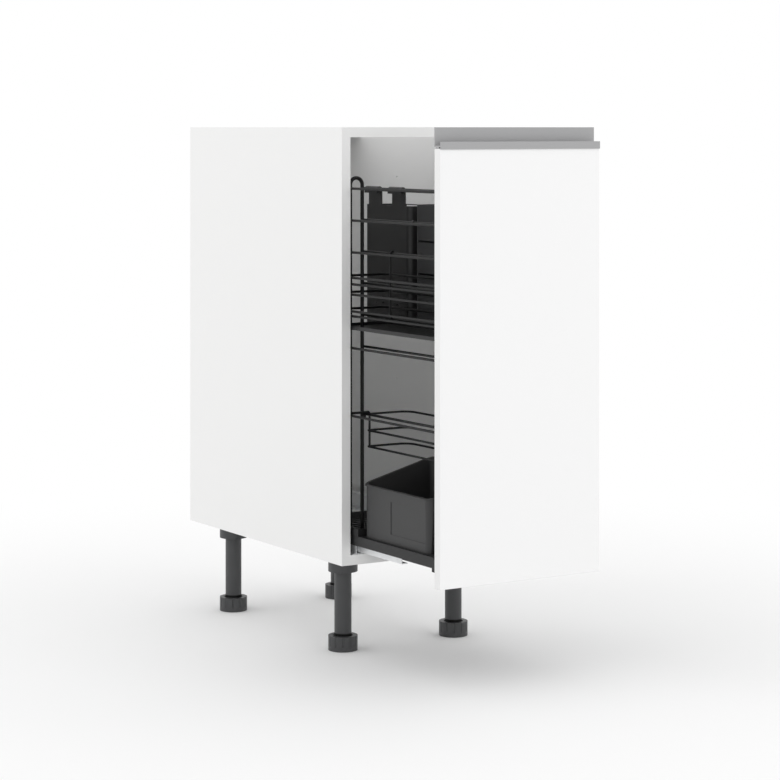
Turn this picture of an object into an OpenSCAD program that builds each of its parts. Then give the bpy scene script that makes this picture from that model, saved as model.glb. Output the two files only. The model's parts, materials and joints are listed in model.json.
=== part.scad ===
// Narrow kitchen base cabinet on four levelling legs, with one tall front that pulls out a wire frame.
// The frame stands on a low base that runs on two telescopic runners. It carries a slot for boards and
// trays, a wire basket with two hanging boxes, a wire holder and a bin.
// X is the width, Y runs from the front to the back and Z is up. All lengths are in millimetres.
// Heights marked as a drop are measured down from the top of the carcase.

/* [Carcase] */
// Outer width of the carcase
body_w = 300; // [280:5:400]
// Height of the carcase without its legs
body_h = 700; // [680:5:760]
// Depth of the carcase, from its front edges to its rear edges
body_d = 530; // [500:5:600]
// Thickness of the carcase boards
board = 16; // [15:0.5:19]
// Thickness of the back panel
back_t = 3; // [2.5:0.5:5]
// Depth of the grooves that hold the back panel
groove = 7; // [5:0.5:8]
// Distance from the rear edges to the back panel
back_inset = 14; // [8:1:24]
// Depth of the two rails that join the sides at the top
rail_d = 98; // [70:2:120]
// Diameter of the pilot holes inside the sides
pilot_d = 3; // [2:0.5:5]
// Distance from the front edges to the pilot holes
pilot_y = 289.4; // [240:0.2:330]
// Drop to the upper pilot hole
pilot_drop = 87; // [60:1:120]
// Distance between the two pilot holes
pilot_step = 354; // [300:1:400]
// Diameter of the dowels that join the boards
dowel_d = 8; // [6:1:8]
// Diameter of the cams that pull the joints tight
cam_d = 15; // [12:1:15]

/* [Legs] */
// Height of the legs, from the floor to the carcase
leg_h = 150; // [120:5:180]
// Diameter of a leg's post
post_d = 28; // [24:1:34]
// Outer diameter of a leg's foot and of its socket
foot_d = 48; // [42:1:56]
// Height of the foot's cup
foot_h = 24; // [20:1:30]
// Height of the socket under the carcase
socket_h = 22; // [14:1:28]
// Diameter of the spindle that the foot turns on
spindle_d = 10; // [8:1:14]
// Distance from a side's outer face to a leg's axis
leg_side = 42.6; // [34:0.2:60]
// Distance from the front edges to the front legs' axes
leg_front = 68.4; // [40:0.2:110]
// Distance from the rear edges to the rear legs' axes
leg_rear = 83.7; // [40:0.2:130]

/* [Runners] */
// Length of the runners, and how far the front comes out
runner_len = 450; // [400:10:480]
// Length of the middle members
mid_len = 430; // [380:10:450]
// Height of the fixed members
runner_h = 29.6; // [27:0.2:30]
// Sheet thickness of the runner members
runner_t = 1.2; // [1:0.1:1.5]
// Distance from a side's outer face to the foot of its runner
runner_side = 22.3; // [21:0.1:26]
// Width of the foot that is screwed to the bottom panel
runner_foot = 5.6; // [5.4:0.1:7]
// Distance from the front edges to the runners' front ends
runner_front = 3; // [1:0.5:10]
// Diameter of the rollers between the fixed and the middle member
roller_a = 3; // [2.5:0.1:3.4]
// Diameter of the rollers between the middle and the top member
roller_b = 5; // [4:0.1:5.4]
// Length of a roller cage
cage_len = 200; // [120:10:200]

/* [Pull-out frame] */
// How far the front stands open in this model
pull_open = 266; // [0:1:450]
// Gap between the closed front and the carcase
door_gap = 2.5; // [2:0.5:4]
// Distance from a side's outer face to the base frame
base_side = 20; // [18.5:0.1:21]
// Height of the base frame's floor above the bottom panel
base_rise = 32; // [31.5:0.1:34]
// Height of the base frame's outer sides
base_skirt = 15.6; // [12:0.2:18]
// Sheet thickness of the base frame
base_t = 1.5; // [1:0.1:2]
// Height of the base tray's walls
tray_h = 12; // [8:0.5:16]
// Diameter of the hoops that stand on the base frame
hoop_d = 6; // [5:0.5:8]
// Distance between the two bars of a hoop
hoop_w = 22.3; // [18:0.1:30]
// Distance from the carcase's front edges to the rear hoop when closed
hoop_rear = 280.5; // [240:0.5:330]
// Drop to the top of the hoops
hoop_drop = 78.4; // [60:0.2:90]
// Diameter of the wires in the two grids beside the hoops
wire_d = 4; // [3:0.5:5]
// Drop to the top wire of the grids
grid_drop = 98; // [92:0.5:110]
// Distance between the grid wires
grid_pitch = 51; // [46:0.5:56]
// Number of evenly spaced wires in each grid
grid_count = 6; // [4:1:6]
// Drop to the lowest wire of each grid
grid_low = 461.5; // [440:0.5:475]
// Thickness of the door brackets
bracket_t = 2; // [1.5:0.1:3]
// Height of the right-hand door bracket above the base frame
bracket_low = 104; // [90:1:140]
// How far the brackets' lower wings reach back
wing_d = 30; // [24:1:40]

/* [Front] */
// Thickness of the door
door_t = 16; // [15:0.5:20]
// Gap between the door's edges and the lines of the carcase
reveal = 2; // [1:0.5:4]
// Drop to the top edge of the door
door_drop = 32; // [28:0.5:40]
// Distance from the door's lower edge up to the carcase's lower face
door_low = 8; // [0:1:20]
// Sheet thickness of the handle profile
handle_t = 1.8; // [1.4:0.1:2.4]
// Height of the handle's front lip above its web
lip_h = 6; // [4:0.5:9]
// How far the front lip reaches down over the door
lip_down = 1.2; // [0.5:0.1:3]
// Depth of the handle's screws in the door
handle_screw_in = 14; // [12:1:20]

/* [Basket] */
// Drop to the top ring of the basket
ring_drop = 240.6; // [230:0.2:250]
// Distance between the basket's rings
ring_pitch = 26.85; // [24:0.05:27]
// Distance from the outer grid wires to the far side of the basket
ring_w = 100; // [96:0.2:120]
// Distance from the rear hoop to the rear of the basket's rings
ring_rear = 39.5; // [30:0.5:60]
// Bend radius of the rings
ring_r = 12; // [10:0.5:20]
// Drop to the rim of the basket's tray
shelf_drop = 317.6; // [314:0.2:325]
// Height of the tray's rim
shelf_h = 6; // [4:0.5:10]
// Sheet thickness of the tray
shelf_t = 1.2; // [0.8:0.1:1.6]

/* [Boxes] */
// Wall thickness of the two boxes
box_t = 2; // [1.5:0.1:2.5]
// Width of the boxes
box_w = 64; // [56:1:70]
// Corner radius of the boxes
box_r = 10; // [8:1:16]
// Drop to the underside of the boxes
box_low = 327; // [300:0.5:330]
// Length of the rear box
rear_box_len = 140; // [130:1:155]
// Drop to the rim of the rear box
rear_box_top = 128.3; // [122:0.1:134]
// Length of the front box
front_box_len = 160; // [140:1:180]
// Drop to the rim of the front box
front_box_top = 124.9; // [120:0.1:134]
// Gap between the two boxes
box_gap = 16; // [10:0.5:24]
// Width of a hook
hook_w = 40; // [30:1:44]
// Diameter of the rail that the boxes hang on
box_bar_d = 6; // [5:0.5:7]
// Drop to the middle of that rail
box_bar_drop = 102.8; // [100:0.2:110]
// Diameter of the drain holes
drain_d = 3; // [2:0.2:4]
// Height of the slots in the front box
slot_h = 3.2; // [2:0.2:5]

/* [Holder and bin] */
// Diameter of the holder's wires
holder_d = 3.5; // [3:0.1:4]
// Width of the holder
holder_w = 78; // [66:1:90]
// Distance between the holder's rings
holder_pitch = 26; // [20:0.5:28]
// Bend radius of the holder's far corners
holder_r = 20; // [12:1:28]
// Length of the bin at its rim
bin_len = 195; // [180:1:200]
// Width of the bin
bin_w = 132; // [110:1:140]
// Distance from a side's outer face to the bin
bin_side = 28; // [26:0.5:34]
// Height of the bin's low side
bin_low = 84; // [60:1:96]
// Height of the bin's high side
bin_high = 119; // [100:1:124]
// Wall thickness of the bin
bin_t = 2; // [1.5:0.1:3]
// Corner radius of the bin
bin_r = 14; // [8:1:20]
// How far each end of the bin leans in towards its floor
bin_draft = 3; // [0:0.5:5]

/* [Display] */
// Which piece to build

/* [Hidden] */

$fn = 48;
// Gap between pieces that are welded, pressed or laid together.
seat = 0.1;
// Gap between a roller and each of its tracks.
roll_gap = 0.05;

top_z = leg_h + body_h;
floor_z = leg_h + board;
lip_t = 1.5;
lip_gap = 0.3;
front_out = door_t + door_gap + pull_open + lip_gap + lip_t;
mid_y = (body_d - front_out) / 2;
far_x = body_w - base_side;

// Runner sections, with heights above the bottom panel.
fix_x = runner_side + runner_foot;
cage_a_x = fix_x + runner_t + 0.5;
mid_x = cage_a_x + 0.9 + 0.5;
cage_b_x = mid_x + runner_t + 0.6;
top_in = cage_b_x + 0.9 + 0.5;
top_out = top_in + 11.8;
mid_z = runner_t + roller_a + 2 * roll_gap;
rail_z = mid_z + runner_t + roller_b + 2 * roll_gap;
base_z = floor_z + base_rise;
cage_y = runner_front + runner_len / 4 + 2.5;
runner_holes = [30, runner_len / 3, runner_len / 3 + 140, runner_len - 30];
// The middle dowels stand clear of the runner's screws.
mid_dowel_y = runner_front + runner_holes[2] - 28;

// Hoops and grids.
hoop_r = hoop_w / 2;
hoop_front = -door_gap + bracket_t + seat + hoop_d / 2;
near_bar = base_side + 1 + 0.3 + hoop_d / 2;
far_bar = near_bar + hoop_w;
grid_a = near_bar - hoop_d / 2 - seat - wire_d / 2;
grid_b = far_bar + hoop_d / 2 + seat + wire_d / 2;
hoop_top = top_z - hoop_drop;
low_z = top_z - grid_low;

// Basket and boxes.
ring_far = grid_a + ring_w;
ring_y0 = hoop_front + hoop_d / 2 + seat + wire_d / 2;
ring_y1 = hoop_rear + ring_rear;
shelf_z = top_z - shelf_drop;
ring_clear = wire_d + 0.4;
shelf_clear = wire_d / 2 + 0.4;
ring_levels = [for (k = [0 : 2]) top_z - ring_drop - k * ring_pitch];
hook_in = box_bar_d / 2 + 0.3;
hook_z = top_z - box_bar_drop;
box_bar_x = ring_far + wire_d / 2 + seat + box_bar_d / 2;
box_x = box_bar_x + hook_in;
box_z = top_z - box_low;
rear_box_y = hoop_rear - 14.5;
front_box_y = rear_box_y - box_gap - front_box_len;

// Holder, bin and front.
holder_x = grid_b + 4.3;
holder_y1 = hoop_rear - 1.5;
bin_y = hoop_front + 48.4;
door_z0 = leg_h + door_low;
door_z1 = top_z - door_drop;
wing_x = base_side - seat - 1.5;
tray_y = bin_y + bin_len + 3;
tray_y1 = hoop_rear + 119.5;
tray_mid = bin_side + bin_w + 11;

module in_frame() translate([-body_w / 2, -mid_y, 0]) children();
module on_front() translate([-body_w / 2, -mid_y - pull_open, 0]) children();
module moved(share) translate([-body_w / 2, -mid_y - pull_open * share, 0]) children();
module mirrored() translate([body_w, 0, 0]) mirror([1, 0, 0]) children();

module bar_x(x0, x1, y, z, d) translate([x0, y, z]) rotate([0, 90, 0]) cylinder(h = x1 - x0, d = d);
module bar_y(y0, y1, x, z, d) translate([x, y0, z]) rotate([-90, 0, 0]) cylinder(h = y1 - y0, d = d);
module bar_z(z0, z1, x, y, d) translate([x, y, z0]) cylinder(h = z1 - z0, d = d);
module block(x0, x1, y0, y1, z0, z1) translate([x0, y0, z0]) cube([x1 - x0, y1 - y0, z1 - z0]);

// Profile in Y and Z, drawn out along X.
module along_x(x0, x1) translate([x0, 0, 0]) rotate([90, 0, 90]) linear_extrude(x1 - x0) children();
// Profile in X and Z, drawn out along Y.
module along_y(y0, y1) translate([0, y1, 0]) rotate([90, 0, 0]) linear_extrude(y1 - y0) children();

// Box with upright round corners.
module round_box(x0, x1, y0, y1, z0, z1, r) {
  block(x0 + r, x1 - r, y0, y1, z0, z1);
  block(x0, x1, y0 + r, y1 - r, z0, z1);
  for (x = [x0 + r, x1 - r], y = [y0 + r, y1 - r])
    bar_z(z0, z1, x, y, 2 * r);
}

// Quarter bend of a wire lying flat.
module flat_bend(x, y, z, r, turn, d)
  translate([x, y, z]) rotate([0, 0, turn]) rotate_extrude(angle = 90) translate([r, 0]) circle(d = d);

// Bend of a wire standing in the width plane, from its right end over angle a.
module upright_bend(x, y, z, r, a, d)
  translate([x, y, z]) rotate([90, 0, 0]) rotate_extrude(angle = a) translate([r, 0]) circle(d = d);

// Closed ring of wire, with its own bend radius on the near and far corners.
module wire_ring(x0, x1, y0, y1, z, rn, rf, d) {
  bar_y(y0 + rn, y1 - rn, x0, z, d);
  bar_y(y0 + rf, y1 - rf, x1, z, d);
  bar_x(x0 + rn, x1 - rf, y0, z, d);
  bar_x(x0 + rn, x1 - rf, y1, z, d);
  flat_bend(x0 + rn, y0 + rn, z, rn, 180, d);
  flat_bend(x1 - rf, y0 + rf, z, rf, 270, d);
  flat_bend(x1 - rf, y1 - rf, z, rf, 0, d);
  flat_bend(x0 + rn, y1 - rn, z, rn, 90, d);
}

// Carcase

module side_board() {
  difference() {
    block(0, board, 0, body_d, leg_h, top_z);
    back_slot();
    for (v = [pilot_drop, pilot_drop + pilot_step])
      bar_x(board - 10, board + 1, pilot_y, top_z - v, pilot_d);
    dowel_set(0);
  }
}

module back_slot()
  block(board - groove, body_w - board + groove, body_d - back_inset - back_t - 0.1,
    body_d - back_inset + 0.1, floor_z - groove, top_z + 1);

// Dowels on the left side, longer by grow at each end so that the same set drills the holes.
module dowel_set(grow) {
  for (y = [leg_front + 23.6, mid_dowel_y, body_d - leg_rear - 56.3])
    bar_x(board - 11 - grow, board + 19 + grow, y, leg_h + board / 2, dowel_d);
  for (y = [rail_d * 0.25, rail_d * 0.75])
    bar_x(board - 11 - grow, board + 19 + grow, y, top_z - board / 2, dowel_d);
  for (y = [rail_d * 0.25, rail_d * 0.75])
    bar_x(board - 11 - grow, board + 19 + grow, rear_rail_y() + y, top_z - board / 2, dowel_d);
}

function rear_rail_y() = body_d - back_inset - back_t - 0.1 - seat - rail_d;
function cam_places() = [[leg_front, leg_h], [body_d - leg_rear, leg_h], [rail_d / 2, top_z - board],
  [rear_rail_y() + rail_d / 2, top_z - board]];

// Cams open to the underside of each board, with the bolt that each one pulls.
module cam_set(cut) {
  for (p = cam_places()) {
    difference() {
      bar_z(p[1] + (cut ? -1 : 0.4), p[1] + 12.5, board + 24, p[0], cam_d);
      if (!cut) {
        block(board + 23, board + 25, p[0] - 4, p[0] + 4, p[1] - 1, p[1] + 2.5);
        block(board + 20, board + 28, p[0] - 1, p[0] + 1, p[1] - 1, p[1] + 2.5);
      }
    }
    bar_x(board - 10, board + 24, p[0], p[1] + board / 2, 6);
  }
}

module side_left() color("#f3f3f2") in_frame() difference() {
  side_board();
  cam_set(true);
}

module side_right() color("#f3f3f2") in_frame() mirrored() difference() {
  side_board();
  cam_set(true);
}

module board_with_joints(y0, y1, z0) difference() {
  block(board, body_w - board, y0, y1, z0, z0 + board);
  dowel_set(0);
  cam_set(true);
  mirrored() dowel_set(0);
  mirrored() cam_set(true);
}

module bottom_panel() color("#efefee") difference() {
  in_frame() difference() {
    board_with_joints(0, body_d, leg_h);
    back_slot();
    runner_screw_places() bar_z(floor_z - 12, floor_z + 1, 0, 0, 3.6);
    mirrored() runner_screw_places() bar_z(floor_z - 12, floor_z + 1, 0, 0, 3.6);
  }
  for (s = [-1, 1], e = [-1, 1])
    at_leg(s, e) leg_screw_places() bar_z(leg_h - 1, leg_h + 12, 0, 0, 3.6);
}

// Two screw holes for a worktop go down through each rail.
module worktop_holes(y) for (x = [body_w / 2 - 70, body_w / 2 + 70])
  bar_z(top_z - board - 1, top_z + 1, x, y, 5);

module top_front_rail() color("#ececeb") in_frame() difference() {
  board_with_joints(0, rail_d, top_z - board);
  worktop_holes(rail_d / 2);
}

module top_rear_rail() color("#ececeb") in_frame() difference() {
  board_with_joints(rear_rail_y(), rear_rail_y() + rail_d, top_z - board);
  worktop_holes(rear_rail_y() + rail_d / 2);
}

module back_panel() color("#f0f0ef") in_frame()
  block(board - groove + 0.2, body_w - board + groove - 0.2, body_d - back_inset - back_t,
    body_d - back_inset, floor_z - groove + 0.2, top_z);

module dowels() color("#c9a878") in_frame() {
  dowel_set(0);
  mirrored() dowel_set(0);
}

module cam_fittings() color("#a9abad") in_frame() {
  cam_set(false);
  mirrored() cam_set(false);
}

// Legs: a socket screwed under the carcase, a post pressed into it and a foot on a spindle.

module at_leg(side, end)
  in_frame() translate([side < 0 ? leg_side : body_w - leg_side,
    end < 0 ? leg_front : body_d - leg_rear, 0]) children();

module leg_screw_places() for (a = [45 : 90 : 315])
  rotate([0, 0, a]) translate([(post_d + foot_d) / 4, 0, 0]) children();

module leg_socket() color("#3d3e40") difference() {
  bar_z(leg_h - socket_h, leg_h, 0, 0, foot_d);
  bar_z(leg_h - socket_h - 1, leg_h - 2.5, 0, 0, post_d);
  leg_screw_places() {
    bar_z(leg_h - 5, leg_h + 1, 0, 0, 3.6);
    bar_z(leg_h - socket_h - 1, leg_h - 4, 0, 0, 7);
  }
}

module leg_post() color("#414244") difference() {
  bar_z(foot_h - 6, leg_h - 2.5, 0, 0, post_d);
  bar_z(foot_h - 7, leg_h - 20, 0, 0, spindle_d + 0.1);
}

module leg_foot() color("#3a3b3d") {
  difference() {
    bar_z(0, foot_h, 0, 0, foot_d);
    bar_z(6, foot_h + 1, 0, 0, post_d + 4);
    for (a = [0 : 30 : 330]) rotate([0, 0, a]) bar_z(7, foot_h + 1, foot_d / 2 + 0.6, 0, 3);
  }
  bar_z(0.5, foot_h + 46, 0, 0, spindle_d);
}

module leg_socket_fl() at_leg(-1, -1) leg_socket();
module leg_socket_fr() at_leg(1, -1) leg_socket();
module leg_socket_rl() at_leg(-1, 1) leg_socket();
module leg_socket_rr() at_leg(1, 1) leg_socket();
module leg_post_fl() at_leg(-1, -1) leg_post();
module leg_post_fr() at_leg(1, -1) leg_post();
module leg_post_rl() at_leg(-1, 1) leg_post();
module leg_post_rr() at_leg(1, 1) leg_post();
module leg_foot_fl() at_leg(-1, -1) leg_foot();
module leg_foot_fr() at_leg(1, -1) leg_foot();
module leg_foot_rl() at_leg(-1, 1) leg_foot();
module leg_foot_rr() at_leg(1, 1) leg_foot();

module leg_screws() color("#b4b6b8") for (s = [-1, 1], e = [-1, 1]) at_leg(s, e) leg_screw_places() {
  bar_z(leg_h - 6.2, leg_h - 4, 0, 0, 6.4);
  bar_z(leg_h - 4.5, leg_h + 12, 0, 0, 3.6);
}

// Runners: a fixed member on the bottom panel, a middle member and a top member under the base frame,
// with a roller cage between each two. All are drawn for the left side, closed, and mirrored.

// Channel open to one side, drawn as a profile with lips of the given reach.
module channel(x, z0, z1, reach, t) {
  side = reach < 0 ? -1 : 1;
  translate([side < 0 ? x - t : x, z0]) square([t, z1 - z0]);
  for (z = [z0, z1 - t])
    translate([side < 0 ? x + reach : x, z]) square([abs(reach), t]);
}

module runner_screw_places() for (y = runner_holes)
  translate([runner_side + runner_foot / 2, runner_front + y, 0]) children();

module runner_fixed() color("#7d8083") difference() {
  along_y(runner_front, runner_front + runner_len) translate([0, floor_z]) {
    channel(fix_x, 0, runner_h, 13, runner_t);
    translate([runner_side, 0]) square([runner_foot + runner_t, runner_t]);
  }
  runner_screw_places() bar_z(floor_z - 1, floor_z + runner_t + 1, 0, 0, 3.6);
}

module runner_mid() color("#c2c5c8")
  along_y(runner_front, runner_front + mid_len) translate([0, floor_z])
    channel(mid_x, mid_z, runner_h - mid_z, 11, runner_t);

module runner_top() color("#55585b")
  along_y(runner_front - 3, runner_front - 3 + runner_len) translate([0, floor_z])
    channel(top_out, rail_z, runner_h - rail_z, top_in - top_out, runner_t);

// Cage: a bent strip with rollers in its two arms, each roller standing proud on both sides.
module roller_cage(x, z0, gap, roller, reach) color("#d9d6cc") {
  arm = 1.1;
  low = z0 + gap / 2;
  high = runner_h - low;
  along_y(cage_y, cage_y + cage_len) translate([0, floor_z]) {
    translate([x, low - arm / 2]) square([0.9, high - low + arm]);
    for (z = [low, high]) translate([x, z - arm / 2]) square([reach, arm]);
  }
  for (z = [low, high], k = [0 : 4])
    bar_x(x + reach - 6.5, x + reach - 1, cage_y + 10 + k * (cage_len - 20) / 4, floor_z + z, roller);
}

module cage_outer()
  roller_cage(cage_a_x, runner_t, mid_z - runner_t, roller_a, 10);
module cage_inner()
  roller_cage(cage_b_x, mid_z + runner_t, rail_z - mid_z - runner_t, roller_b, 9.5);

module runner_fixed_left() in_frame() runner_fixed();
module runner_fixed_right() in_frame() mirrored() runner_fixed();
module cage_outer_left() moved(0.25) cage_outer();
module cage_outer_right() moved(0.25) mirrored() cage_outer();
module runner_mid_left() moved(0.5) runner_mid();
module runner_mid_right() moved(0.5) mirrored() runner_mid();
module cage_inner_left() moved(0.75) cage_inner();
module cage_inner_right() moved(0.75) mirrored() cage_inner();
module runner_top_left() on_front() runner_top();
module runner_top_right() on_front() mirrored() runner_top();

module runner_screw() {
  bar_z(floor_z + runner_t, floor_z + runner_t + 2, 0, 0, 5.4);
  bar_z(floor_z - 12, floor_z + runner_t + 0.5, 0, 0, 3.6);
}

module runner_screws() color("#b4b6b8") in_frame() {
  runner_screw_places() runner_screw();
  mirrored() runner_screw_places() runner_screw();
}

// Base frame: a floor sheet with turned-down outer sides and inner webs that the top members lie against.

frame_y0 = hoop_front - hoop_d / 2;
frame_y1 = runner_front - 3 + runner_len;
web_x = top_out + 0.05;

module base_frame() color("#3f4144") on_front() {
  block(base_side, far_x, frame_y0, frame_y1, base_z - base_t, base_z);
  for (m = [0, 1]) translate([m * body_w, 0, 0]) mirror([m, 0, 0]) {
    block(base_side, base_side + base_t, frame_y0, frame_y1, base_z - base_skirt, base_z);
    block(web_x, web_x + base_t, frame_y0, frame_y1, floor_z + rail_z, base_z);
  }
  block(web_x, body_w - web_x, frame_y1 - base_t, frame_y1, floor_z + rail_z, base_z);
  block(web_x, body_w - web_x, frame_y0, frame_y0 + base_t, floor_z + rail_z, base_z);
}

// L-shaped plan of the tray, drawn inwards by the given amount.
module tray_plan(g) {
  translate([base_side + g, tray_y + g])
    square([far_x - base_side - 2 * g, tray_y1 - tray_y - 2 * g]);
  translate([tray_mid + g, frame_y0 + 6 + g])
    square([far_x - tray_mid - 2 * g, tray_y1 - frame_y0 - 6 - 2 * g]);
}

module base_tray() color("#2c2d2f") on_front() difference() {
  union() {
    difference() {
      translate([0, 0, base_z + seat / 2]) linear_extrude(tray_h) tray_plan(0);
      translate([0, 0, base_z + 1.6]) linear_extrude(tray_h + 1) tray_plan(1);
    }
    for (y = [tray_y + 12 : 16 : tray_y1 - 8])
      block(base_side + 8, far_x - 8, y, y + 2, base_z + 1, base_z + 3);
    for (y = [frame_y0 + 20 : 16 : tray_y - 4])
      block(tray_mid + 8, far_x - 8, y, y + 2, base_z + 1, base_z + 3);
  }
  for (x = [near_bar, far_bar]) bar_z(base_z - 1, base_z + 9, x, hoop_rear, hoop_d + 0.2);
}

// Hoops: two bars with a round bend over the top, welded to the base frame.
module hoop(y) color("#222325") on_front() {
  for (x = [near_bar, far_bar]) bar_z(base_z + seat, hoop_top - hoop_r - hoop_d / 2, x, y, hoop_d);
  upright_bend(near_bar + hoop_r, y, hoop_top - hoop_r - hoop_d / 2, hoop_r, 180, hoop_d);
}

module hoop_rear_bar() hoop(hoop_rear);
module hoop_front_bar() hoop(hoop_front);

// Height moved clear of a band, to its nearer side.
function off_band(z, low, high) =
  z <= low || z >= high ? z : z - low < high - z ? low : high;
// Height of a grid wire, clear of the basket's rings and tray.
function grid_z(k) = let (
  a = top_z - grid_drop - k * grid_pitch,
  b = off_band(a, ring_levels[0] - ring_clear, ring_levels[0] + ring_clear),
  c = off_band(b, ring_levels[1] - ring_clear, ring_levels[1] + ring_clear),
  d = off_band(c, ring_levels[2] - ring_clear, ring_levels[2] + ring_clear)
) off_band(d, shelf_z - shelf_h - shelf_clear, shelf_z + shelf_clear);

// Grids: level wires joined by one upright wire behind the door.
module grid(x, y1, y_post) {
  for (z = concat([for (k = [0 : grid_count - 1]) grid_z(k)], [low_z]))
    bar_y(y_post, y1, x, z, wire_d);
  bar_z(low_z, top_z - grid_drop, x, y_post, wire_d);
  bar_y(y_post - wire_d / 2, y_post + 0.5, x, low_z, wire_d);
  bar_y(y_post - wire_d / 2, y_post + 0.5, x, top_z - grid_drop, wire_d);
}

module grid_outer() color("#26272a") on_front()
  grid(grid_a, hoop_rear + hoop_d / 2, frame_y0 + wire_d / 2);
module grid_inner() color("#26272a") on_front()
  grid(grid_b, hoop_rear + hoop_d / 2, frame_y0 + wire_d / 2);

// Short wire across the two lowest grid wires, beside the rear hoop.
module slot_wire() color("#26272a") on_front()
  bar_x(grid_a - wire_d / 2, grid_b, hoop_rear - 12, low_z + wire_d, wire_d);

// Upright wire that hooks over the third wire of the inner grid and keeps boards in the slot.
module board_stop() color("#26272a") on_front() {
  x = grid_b - wire_d / 2 - seat - 1.5;
  z = grid_z(2);
  bar_z(grid_z(4) - 4, z, x, hoop_rear - 83.5, 3);
  translate([2 * grid_b, 0, 0]) mirror([1, 0, 0])
    upright_bend(grid_b, hoop_rear - 83.5, z, grid_b - x, 120, 3);
}

module wire_clip() color("#2f3033") on_front() difference() {
  bar_y(hoop_rear - 149.5, hoop_rear - 143.5, grid_b, grid_z(1), wire_d + 3.2);
  bar_y(hoop_rear - 150, hoop_rear - 143, grid_b, grid_z(1), wire_d + 0.1);
}

// Front: brackets behind the door, the door and the handle profile along its top edge.

door_back = -door_gap;
door_front = door_back - door_t;
door_in = (near_bar + far_bar) / 2;
left_screws = [base_z + 22, base_z + 200, base_z + 380, hoop_top - 22];
right_screws = [base_z + 22, base_z + bracket_low - 22];

module bracket(z1, holes) difference() {
  union() {
    block(wing_x, far_bar + hoop_d / 2, door_back, door_back + bracket_t, floor_z + rail_z - 0.3, z1);
    block(wing_x, wing_x + 1.5, door_back, wing_d, floor_z + rail_z - 0.3, base_z - 2);
  }
  for (z = holes) bar_y(door_back - 1, door_back + bracket_t + 1, door_in, z, 4);
}

module door_bracket_left() color("#2b2c2e") on_front() bracket(hoop_top, left_screws);
module door_bracket_right() color("#2b2c2e") on_front() mirrored()
  bracket(base_z + bracket_low, right_screws);

module door_screw_set(holes, d) for (z = holes) {
  bar_y(door_back + bracket_t, door_back + bracket_t + (d > 4 ? 2.4 : 0), door_in, z, 8);
  bar_y(door_back - 12, door_back + bracket_t + 1, door_in, z, 4);
}

module door_screws() color("#b4b6b8") on_front() {
  door_screw_set(left_screws, 8);
  mirrored() door_screw_set(right_screws, 8);
}

module door_panel() color("#f4f4f4") on_front() difference() {
  block(reveal, body_w - reveal, door_front, door_back, door_z0, door_z1);
  for (z = left_screws) bar_y(door_back - 12, door_back + 1, door_in, z, 4);
  mirrored() for (z = right_screws) bar_y(door_back - 12, door_back + 1, door_in, z, 4);
  for (x = handle_places()) bar_z(door_z1 - handle_screw_in, door_z1 + 1, x, door_front + door_t / 2, 3.5);
}

function handle_places() = [40, body_w / 2, body_w - 40];
web_z = door_z1 + 2.5;

// Section of the handle in Y and Z: a tall back flange, a web on a foot and a front lip that is
// turned down over the door.
module handle_section() {
  translate([door_back - handle_t, web_z]) square([handle_t, top_z - web_z]);
  translate([door_front - lip_gap, web_z]) square([door_t + lip_gap, handle_t]);
  translate([door_front - lip_gap - lip_t, door_z1 - lip_down])
    square([lip_t, web_z + handle_t + lip_h - door_z1 + lip_down]);
  translate([door_front + 3.5, door_z1 + seat / 2]) square([door_t - 7, web_z - door_z1]);
}

module handle_profile() color("#a9a9aa") on_front() difference() {
  along_x(reveal, body_w - reveal) handle_section();
  for (x = handle_places()) bar_z(door_z1 - 1, web_z + handle_t + 1, x, door_front + door_t / 2, 3.5);
}

module handle_screws() color("#b4b6b8") on_front() for (x = handle_places()) {
  bar_z(web_z + handle_t, web_z + handle_t + 2, x, door_front + door_t / 2, 7);
  bar_z(door_z1 - handle_screw_in, web_z + handle_t + 1, x, door_front + door_t / 2, 3.5);
}

// Basket: three rings round both hoops, and a shallow tray that the hoops pass through.

module basket_rings() color("#26272a") on_front() {
  for (k = [0 : 2])
    wire_ring(grid_a, ring_far, ring_y0, ring_y1, ring_levels[k], ring_r, ring_r, wire_d);
  for (x = [far_bar + 14, ring_far - ring_r - 4])
    bar_z(shelf_z + seat, top_z - ring_drop, x, ring_y0, wire_d);
}

module basket_tray() color("#303134") on_front() difference() {
  block(grid_a - 1, ring_far + 1, ring_y0 - wire_d / 2, ring_y1 + 1, shelf_z - shelf_h, shelf_z);
  block(grid_a - 1 + shelf_t, ring_far + 1 - shelf_t, ring_y0 - wire_d / 2 + shelf_t,
    ring_y1 + 1 - shelf_t, shelf_z - shelf_h + shelf_t, shelf_z + 1);
  for (x = [near_bar, far_bar])
    bar_z(shelf_z - shelf_h - 1, shelf_z + 1, x, hoop_rear, hoop_d + 0.2);
}

// Rail that the boxes hang on, with two thinner uprights welded to the far sides of the rings.
module box_rail() color("#26272a") on_front() {
  y0 = ring_y0 + ring_r + 10;
  bar_y(y0 - box_bar_d / 2 - 0.5, rear_box_y + rear_box_len - 16, box_bar_x, hook_z, box_bar_d);
  for (y = [y0, front_box_y - 8])
    bar_z(top_z - ring_drop - 2 * ring_pitch - 8, hook_z, box_bar_x - 0.4, y, box_bar_d - 1);
}

// Boxes

module open_box(x0, y0, w, l, z0, z1) difference() {
  round_box(x0, x0 + w, y0, y0 + l, z0, z1, box_r);
  round_box(x0 + box_t, x0 + w - box_t, y0 + box_t, y0 + l - box_t, z0 + box_t, z1 + 1, box_r - box_t);
}

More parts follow.
